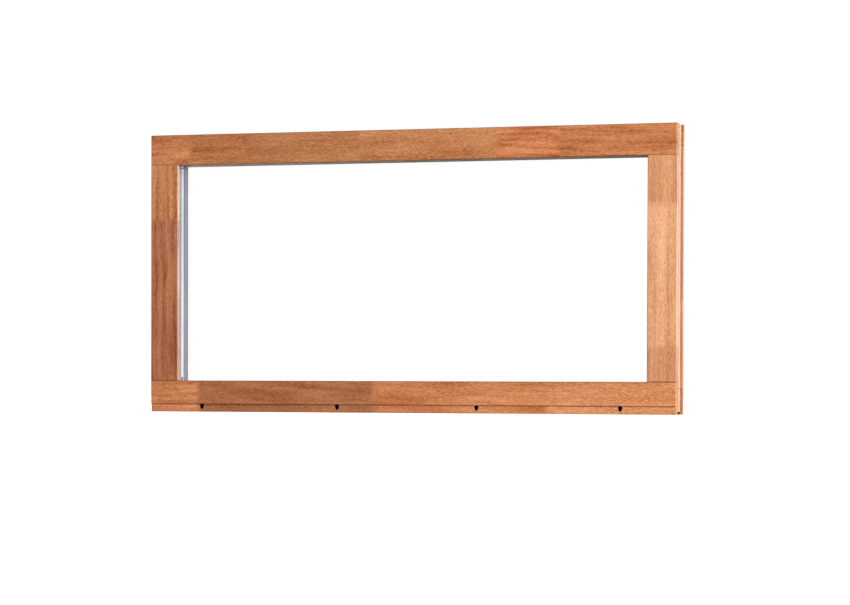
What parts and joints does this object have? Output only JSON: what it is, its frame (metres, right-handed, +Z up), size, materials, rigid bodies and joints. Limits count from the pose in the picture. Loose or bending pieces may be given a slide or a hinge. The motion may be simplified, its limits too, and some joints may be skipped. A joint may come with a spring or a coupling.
{
  "type": "fixed wooden window",
  "caption": "Fixed hardwood window: jointed timber frame with side flanges and a drained sill, double glazing held from indoors by mitred beads.",
  "frame": {"origin": "middle of the base that the window stands on, centred in width and depth", "axes": "+X along the window's width, +Y from the outdoor face to the indoor face, +Z up"},
  "size_m": [1.244, 0.072, 0.64],
  "materials": {
    "frame_hardwood": "planed, unfinished red-brown hardwood",
    "bead_paint": "timber with satin blue-grey paint",
    "glass": "clear float glass",
    "spacer_metal": "mill finish",
    "corner_key": "matt light grey",
    "seal": "matt dark grey",
    "edge_sealant": "matt black",
    "setting_block": "matt"
  },
  "bodies": {
    "root": {"head": "frame_hardwood", "sill": "frame_hardwood", "left_jamb": "frame_hardwood", "right_jamb": "frame_hardwood", "bottom_bead": "bead_paint", "right_bead": "bead_paint", "top_bead": "bead_paint", "left_bead": "bead_paint", "outer_pane": "glass", "inner_pane": "glass", "bottom_spacer": "spacer_metal", "right_spacer": "spacer_metal", "top_spacer": "spacer_metal", "left_spacer": "spacer_metal", "lower_left_corner_key": "corner_key", "lower_right_corner_key": "corner_key", "upper_right_corner_key": "corner_key", "upper_left_corner_key": "corner_key", "bottom_edge_sealant": "edge_sealant", "right_edge_sealant": "edge_sealant", "top_edge_sealant": "edge_sealant", "left_edge_sealant": "edge_sealant", "bottom_outer_seal": "seal", "right_outer_seal": "seal", "top_outer_seal": "seal", "left_outer_seal": "seal", "bottom_inner_seal": "seal", "right_inner_seal": "seal", "top_inner_seal": "seal", "left_inner_seal": "seal", "left_setting_block": "setting_block", "right_setting_block": "setting_block"}
  },
  "joints": []
}
